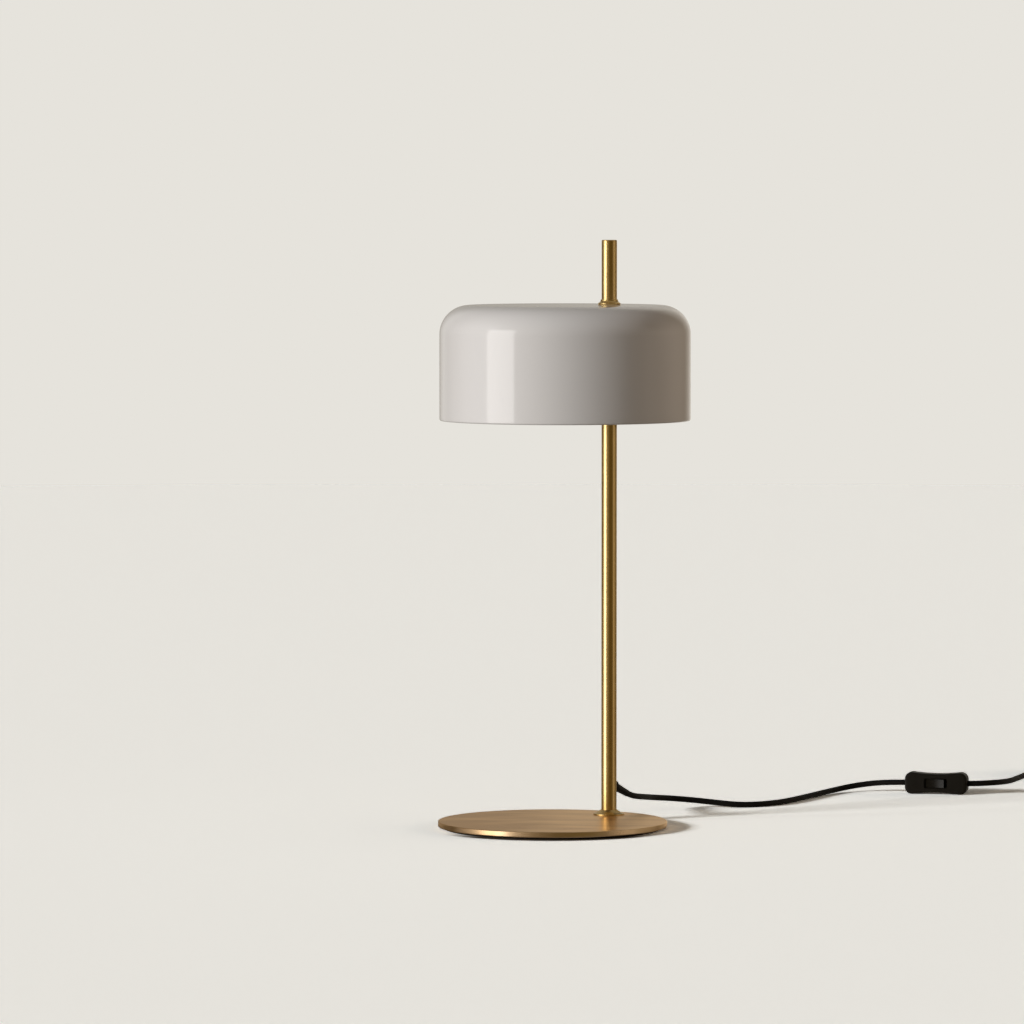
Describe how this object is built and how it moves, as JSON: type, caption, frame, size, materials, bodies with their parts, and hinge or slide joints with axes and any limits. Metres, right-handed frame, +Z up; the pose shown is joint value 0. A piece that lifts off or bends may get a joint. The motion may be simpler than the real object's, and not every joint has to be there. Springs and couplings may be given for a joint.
{
  "type": "desk lamp",
  "caption": "Desk lamp with a round foot, a thin stem through an off-centre drum shade that slides and swivels on it, and an inline rocker switch on its cord.",
  "frame": {"origin": "middle of the round foot, on the desk surface", "axes": "+Z up along the stem, +X to the side where the cord leaves, +Y to the back"},
  "size_m": [0.7136, 0.7325, 0.569],
  "materials": {
    "brushed_brass": "fine straight brushing, satin lacquer",
    "satin_brass": "turned and satin brushed round the axis",
    "black_felt": "dense non-slip pad",
    "bare_steel": "machined",
    "zinc_steel": "bright zinc plated",
    "black_rubber": "matt moulded rubber",
    "white_lead": "smooth extruded sheath",
    "black_cord": "tight braided textile sheath",
    "black_strap": "woven hook and loop strap",
    "black_plastic": "fine moulded texture, satin",
    "black_rocker": "smooth moulded",
    "nickel_pins": "nickel plated brass, sleeved near the root",
    "contact_brass": "stamped strip",
    "white_nylon": "moulded nylon",
    "grey_enamel": "gloss warm grey outside, white inside",
    "black_washer": "flat washer",
    "white_thermoplastic": "moulded",
    "opal_glass": "opal white glass",
    "nickel_cap": "nickel plated"
  },
  "bodies": {
    "stand": {"foot_plate": "brushed_brass", "foot_pad": "black_felt", "locating_pin": "bare_steel", "foot_bolt": "zinc_steel", "stem_foot_plug": "bare_steel", "foot_collar": "satin_brass", "stem_tube": "satin_brass", "stem_cap": "satin_brass", "cord_gland": "black_rubber", "lead_grommet": "black_rubber", "inner_lead": "white_lead", "cord_to_switch": "black_cord", "cord_to_coil": "black_cord", "cord_coil": "black_cord", "coil_tie": "black_strap", "cord_to_plug": "black_cord", "plug_body": "black_plastic", "plug_pins": "nickel_pins", "switch_front": "black_plastic", "switch_back": "black_plastic", "switch_screws": "zinc_steel", "switch_contacts": "contact_brass", "rocker_pin": "bare_steel"},
    "slider": {"friction_sleeve": "white_nylon", "lead_clip": "white_nylon", "lead_lower": "white_lead"},
    "shade": {"shade_shell": "grey_enamel", "shade_collar": "satin_brass", "collar_washer": "black_washer", "carrier_plate": "zinc_steel", "shade_hub": "zinc_steel", "sleeve_nut": "zinc_steel", "stop_pin": "bare_steel", "holder_nipple": "zinc_steel", "nipple_nut": "zinc_steel", "holder_cap": "white_thermoplastic", "holder_body": "white_thermoplastic", "holder_screw_shell": "contact_brass", "holder_contact": "contact_brass", "entry_bush": "black_rubber", "bulb_glass": "opal_glass", "bulb_cap": "nickel_cap", "bulb_contact": "nickel_cap", "lead_upper": "white_lead"},
    "rocker": {"rocker": "black_rocker"}
  },
  "joints": [
    {"name": "shade_height", "type": "slide", "parent": "stand", "child": "slider", "axis": [0, 0, 1], "range_m": [-0.02, 0.04], "deforming": ["lead_lower"]},
    {"name": "shade_swivel", "type": "hinge", "parent": "slider", "child": "shade", "pos_m": [0.0555, 0.0595, 0.49], "axis": [0, 0, 1], "range_deg": [-90, 90], "deforming": ["lead_upper"]},
    {"name": "rocker_tilt", "type": "hinge", "parent": "stand", "child": "rocker", "pos_m": [0.39452, 0.3412, 0.01125], "axis": [0, 0, 1], "range_deg": [0, 18]}
  ]
}
